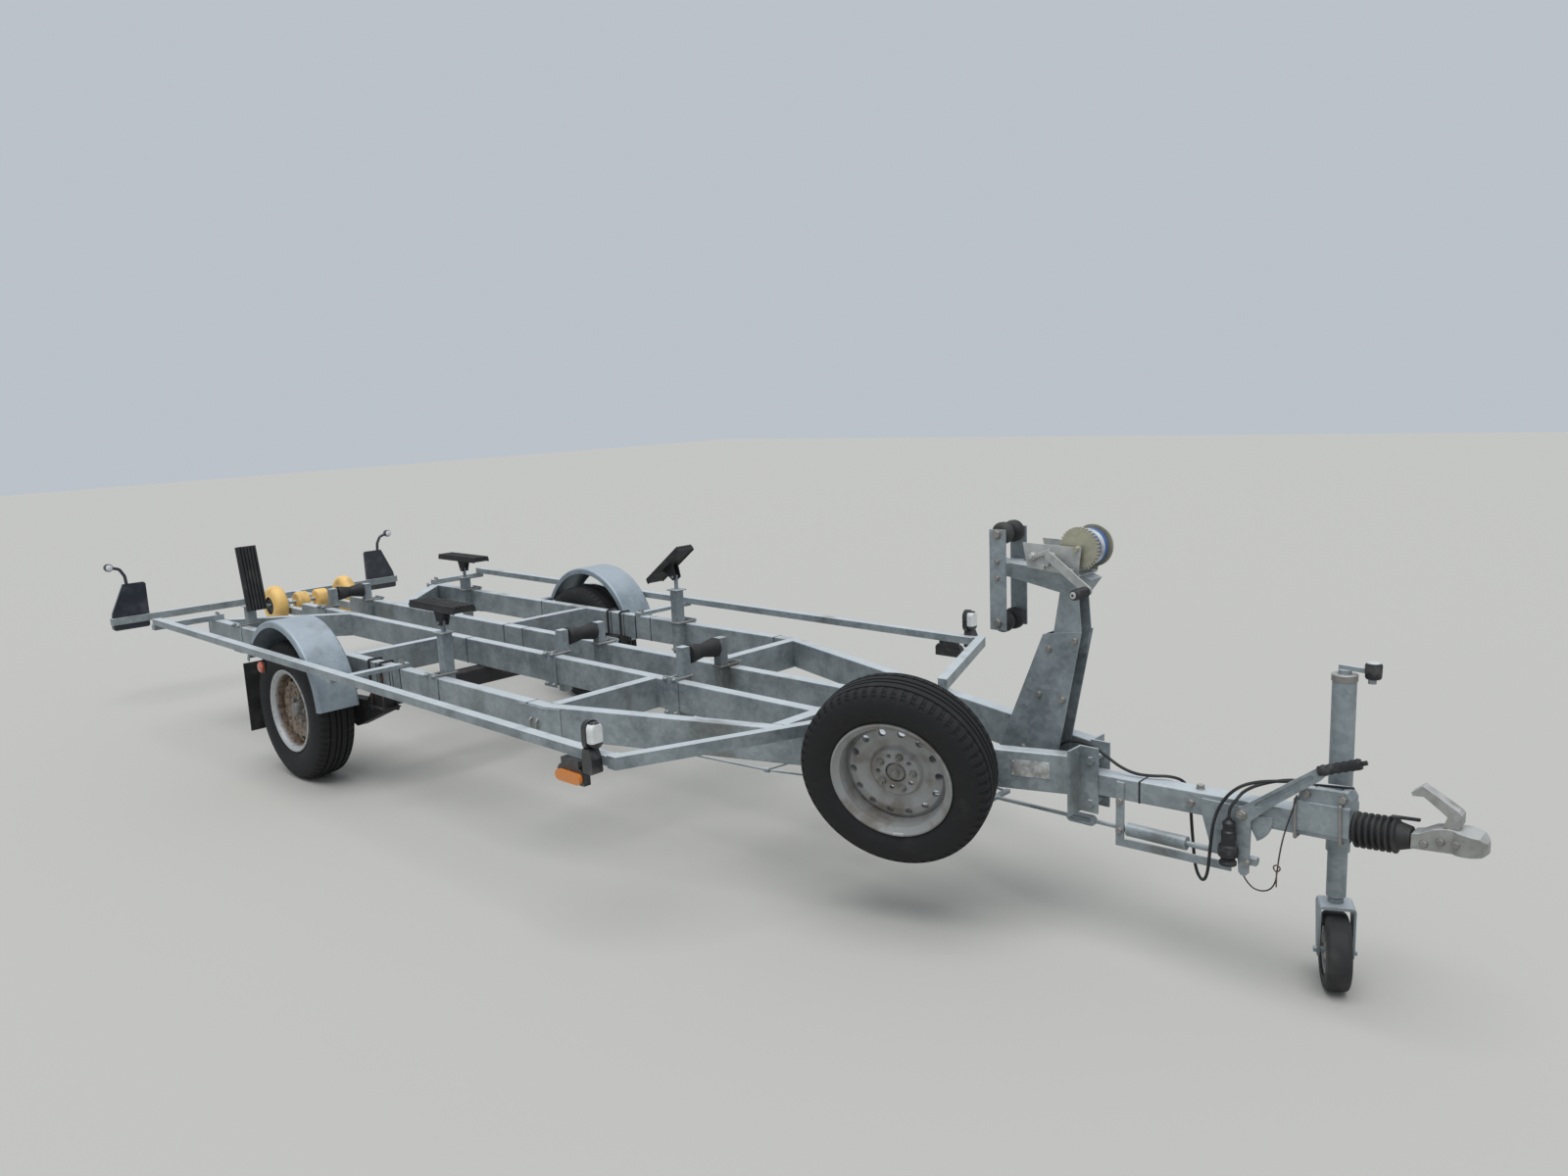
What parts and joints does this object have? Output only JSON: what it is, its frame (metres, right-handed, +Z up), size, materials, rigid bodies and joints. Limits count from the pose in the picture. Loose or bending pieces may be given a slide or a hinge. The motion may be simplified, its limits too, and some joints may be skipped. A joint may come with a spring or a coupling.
{
  "type": "boat trailer",
  "caption": "Braked single-axle boat trailer with winch post, keel and bilge rollers, spare wheel and jockey wheel.",
  "frame": {"origin": "on the ground, half way along the trailer and in the middle of its width", "axes": "+X towards the coupling, +Y to the trailer's left, +Z up"},
  "size_m": [6.85, 2.076, 1.244],
  "materials": {
    "galvanised": "weathered hot-dip galvanised steel",
    "zinc_plate": "dull yellowish zinc plating",
    "black_rubber": "matt black rubber",
    "tyre_rubber": "worn black tyre rubber",
    "yellow_rubber": "yellow moulded rubber, faded",
    "black_paint": "black paint, chipped, rust at the edges",
    "grey_paint": "grey painted steel wheel",
    "silver_paint": "silver wheel paint with brown rust",
    "black_plastic": "black plastic",
    "lamp_plastic": "red and amber lamp lenses in a black housing",
    "webbing": "blue and white webbing"
  },
  "bodies": {
    "chassis": {"outer_rails": "galvanised", "keel_rails": "galvanised", "cross_members": "galvanised", "nose_cross_member": "galvanised", "drawbar": "galvanised", "clamp_angles": "galvanised", "winch_post": "galvanised", "winch_arm": "galvanised", "bow_stop_frame": "galvanised", "coupling_housing": "galvanised", "handbrake_lever": "galvanised", "brake_bracket": "galvanised", "brake_rod": "galvanised", "jockey_tube": "galvanised", "jockey_clamp": "galvanised", "jockey_crank": "galvanised", "side_rails": "galvanised", "side_arms": "galvanised", "fenders": "galvanised", "light_bar": "galvanised", "stern_frame": "galvanised", "keel_roller_posts": "galvanised", "bilge_posts": "galvanised", "spare_carrier": "galvanised", "coupling_head": "galvanised", "coupling_handle": "galvanised", "winch_frame": "zinc_plate", "bellows": "black_rubber", "mud_flaps": "black_rubber", "spare_tyre": "tyre_rubber", "axle_tube": "black_paint", "suspension_arms": "black_paint", "spare_rim": "grey_paint", "marker_lamps": "lamp_plastic", "light_boards": "lamp_plastic", "electric_cable": "black_rubber", "electric_plug": "black_plastic", "breakaway_cable": "black_plastic"},
    "road_wheel_right": {"tyre_right": "tyre_rubber", "rim_right": "silver_paint"},
    "road_wheel_left": {"tyre_left": "tyre_rubber", "rim_left": "silver_paint"},
    "jockey_leg": {"jockey_leg": "galvanised"},
    "jockey_fork": {"jockey_fork": "galvanised"},
    "jockey_wheel": {"jockey_tyre": "black_rubber", "jockey_rim": "silver_paint"},
    "winch_drum": {"winch_drum": "zinc_plate", "winch_strap": "webbing"},
    "winch_crank": {"winch_crank": "zinc_plate"},
    "bow_rollers_top": {"bow_rollers_top": "black_rubber"},
    "bow_rollers_bottom": {"bow_rollers_bottom": "black_rubber"},
    "keel_roller_front": {"keel_roller_front": "black_rubber"},
    "keel_roller_middle": {"keel_roller_middle": "black_rubber"},
    "keel_roller_rear": {"keel_roller_rear": "black_rubber"},
    "stern_rollers_right": {"stern_rollers_right": "yellow_rubber"},
    "stern_rollers_left": {"stern_rollers_left": "yellow_rubber"},
    "bilge_pad_front_right": {"bilge_pad_front_right": "black_rubber"},
    "bilge_pad_front_left": {"bilge_pad_front_left": "black_rubber"},
    "bilge_pad_rear_right": {"bilge_pad_rear_right": "black_rubber"},
    "bilge_pad_rear_left": {"bilge_pad_rear_left": "black_rubber"}
  },
  "joints": [
    {"name": "wheel_right_spin", "type": "hinge", "parent": "chassis", "child": "road_wheel_right", "pos_m": [-1.159, -0.823, 0.325], "axis": [0, 1, 0], "continuous": true},
    {"name": "wheel_left_spin", "type": "hinge", "parent": "chassis", "child": "road_wheel_left", "pos_m": [-1.159, 0.823, 0.325], "axis": [0, 1, 0], "continuous": true},
    {"name": "jockey_wind", "type": "slide", "parent": "chassis", "child": "jockey_leg", "axis": [0, 0, 1], "range_m": [-0.12, 0.13]},
    {"name": "jockey_swivel", "type": "hinge", "parent": "jockey_leg", "child": "jockey_fork", "pos_m": [3.055, 0.097, 0.24], "axis": [0, 0, 1], "continuous": true},
    {"name": "jockey_wheel_spin", "type": "hinge", "parent": "jockey_fork", "child": "jockey_wheel", "pos_m": [3.06472, 0.07615, 0.105], "axis": [0.9063, 0.4226, 0], "continuous": true},
    {"name": "winch_drum_turn", "type": "hinge", "parent": "chassis", "child": "winch_drum", "pos_m": [2.362, 0, 1.179], "axis": [0, 1, 0], "continuous": true},
    {"name": "winch_crank_turn", "type": "hinge", "parent": "chassis", "child": "winch_crank", "pos_m": [2.286, -0.06, 1.157], "axis": [0, 1, 0], "continuous": true},
    {"name": "bow_rollers_top_spin", "type": "hinge", "parent": "chassis", "child": "bow_rollers_top", "pos_m": [2.098, 0, 1.21], "axis": [0, 1, 0], "continuous": true},
    {"name": "bow_rollers_bottom_spin", "type": "hinge", "parent": "chassis", "child": "bow_rollers_bottom", "pos_m": [2.098, 0, 0.935], "axis": [0, 1, 0], "continuous": true},
    {"name": "keel_roller_front_spin", "type": "hinge", "parent": "chassis", "child": "keel_roller_front", "pos_m": [0.672, 0, 0.66], "axis": [0, 1, 0], "continuous": true},
    {"name": "keel_roller_middle_spin", "type": "hinge", "parent": "chassis", "child": "keel_roller_middle", "pos_m": [-0.128, 0, 0.64], "axis": [0, 1, 0], "continuous": true},
    {"name": "keel_roller_rear_spin", "type": "hinge", "parent": "chassis", "child": "keel_roller_rear", "pos_m": [-2.32, 0, 0.64], "axis": [0, 1, 0], "continuous": true},
    {"name": "stern_rollers_right_spin", "type": "hinge", "parent": "chassis", "child": "stern_rollers_right", "pos_m": [-2.84, -0.15, 0.548], "axis": [0, 1, 0], "continuous": true},
    {"name": "stern_rollers_left_spin", "type": "hinge", "parent": "chassis", "child": "stern_rollers_left", "pos_m": [-2.84, 0.15, 0.548], "axis": [0, 1, 0], "continuous": true},
    {"name": "bilge_pad_front_right_tilt", "type": "hinge", "parent": "chassis", "child": "bilge_pad_front_right", "pos_m": [-0.22, -0.6205, 0.79], "axis": [0, 1, 0], "range_deg": [-85, 85]},
    {"name": "bilge_pad_front_left_tilt", "type": "hinge", "parent": "chassis", "child": "bilge_pad_front_left", "pos_m": [-0.17, 0.6205, 0.805], "axis": [0, 1, 0], "range_deg": [-49, 121]},
    {"name": "bilge_pad_rear_right_tilt", "type": "hinge", "parent": "chassis", "child": "bilge_pad_rear_right", "pos_m": [-2.19, -0.6205, 0.812], "axis": [0, 1, 0], "range_deg": [-165, 5]},
    {"name": "bilge_pad_rear_left_tilt", "type": "hinge", "parent": "chassis", "child": "bilge_pad_rear_left", "pos_m": [-2.097, 0.6205, 0.702], "axis": [0, 1, 0], "range_deg": [-50, 50]}
  ],
  "couplings": [
    {"joint": "winch_crank_turn", "follows": "winch_drum_turn", "ratio": -3.94}
  ]
}
